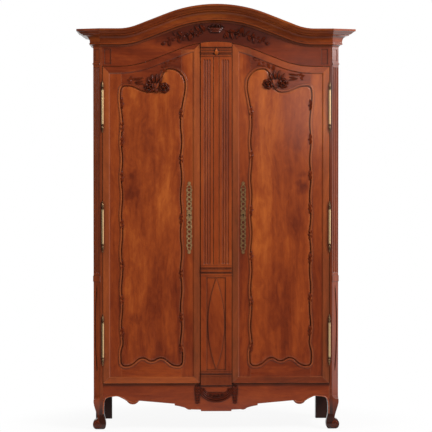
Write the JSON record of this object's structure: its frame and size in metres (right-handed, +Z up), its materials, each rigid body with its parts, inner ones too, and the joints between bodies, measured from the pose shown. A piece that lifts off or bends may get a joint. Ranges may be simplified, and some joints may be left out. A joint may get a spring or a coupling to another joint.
{
  "type": "armoire",
  "caption": "Tall free-standing wooden armoire: arched moulded cornice, canted fluted corners, shaped panelled doors on pin hinges, brass escutcheons, shelves, scalloped apron and scroll feet.",
  "frame": {"origin": "on the floor, under the middle of the overall box", "axes": "+Z up, +X to the right seen from the front, +Y towards the back"},
  "size_m": [1.528, 0.651, 2.328],
  "materials": {
    "frame_wood": "waxed polish, dark reddish brown",
    "cornice_wood": "waxed polish, reddish brown",
    "door_frame_wood": "waxed polish, reddish brown",
    "door_panel_wood": "waxed polish with flame figure",
    "inside_wood": "plain, unpolished",
    "brass": "old polished brass",
    "iron": "dark forged iron"
  },
  "bodies": {
    "carcass": {"back_boards": "inside_wood", "back_bottom_rail": "inside_wood", "back_middle_rail": "inside_wood", "back_top_rail": "inside_wood", "ceiling_boards": "inside_wood", "centre_post": "frame_wood", "cornice_front": "cornice_wood", "cornice_left_corner": "cornice_wood", "cornice_left_side": "cornice_wood", "cornice_right_corner": "cornice_wood", "cornice_right_side": "cornice_wood", "floor_boards": "inside_wood", "floor_cleats": "inside_wood", "frame_pegs": "frame_wood", "front_apron_rail": "frame_wood", "front_top_rail": "frame_wood", "left_front_post": "frame_wood", "left_post_hinge_halves": "brass", "left_rear_post": "frame_wood", "left_side_bottom_rail": "frame_wood", "left_side_lower_panel": "frame_wood", "left_side_middle_rail": "frame_wood", "left_side_top_rail": "frame_wood", "left_side_upper_panel": "frame_wood", "lock_keeps": "iron", "right_front_post": "frame_wood", "right_post_hinge_halves": "brass", "right_rear_post": "frame_wood", "right_side_bottom_rail": "frame_wood", "right_side_lower_panel": "frame_wood", "right_side_middle_rail": "frame_wood", "right_side_top_rail": "frame_wood", "right_side_upper_panel": "frame_wood", "shelf_cleats": "inside_wood", "shelf_lower": "inside_wood", "shelf_middle": "inside_wood", "shelf_upper": "inside_wood"},
    "left_door": {"left_door_bottom_rail": "door_frame_wood", "left_door_escutcheon": "brass", "left_door_hinge_halves": "brass", "left_door_hinge_stile": "door_frame_wood", "left_door_lock_case": "iron", "left_door_lock_stile": "door_frame_wood", "left_door_panel": "door_panel_wood", "left_door_top_rail": "door_frame_wood"},
    "right_door": {"right_door_bottom_rail": "door_frame_wood", "right_door_escutcheon": "brass", "right_door_hinge_halves": "brass", "right_door_hinge_stile": "door_frame_wood", "right_door_lock_case": "iron", "right_door_lock_stile": "door_frame_wood", "right_door_panel": "door_panel_wood", "right_door_top_rail": "door_frame_wood"},
    "left_lock_bolt": {"left_door_lock_bolt": "iron"},
    "right_lock_bolt": {"right_door_lock_bolt": "iron"}
  },
  "joints": [
    {"name": "left_door_hinge", "type": "hinge", "parent": "carcass", "child": "left_door", "pos_m": [-0.6215, -0.2415, 0], "axis": [0, 0, -1], "range_deg": [0, 170]},
    {"name": "right_door_hinge", "type": "hinge", "parent": "carcass", "child": "right_door", "pos_m": [0.6215, -0.2415, 0], "axis": [0, 0, 1], "range_deg": [0, 170]},
    {"name": "left_lock_slide", "type": "slide", "parent": "left_door", "child": "left_lock_bolt", "axis": [1, 0, 0], "range_m": [0, 0.016]},
    {"name": "right_lock_slide", "type": "slide", "parent": "right_door", "child": "right_lock_bolt", "axis": [-1, 0, 0], "range_m": [0, 0.016]}
  ]
}
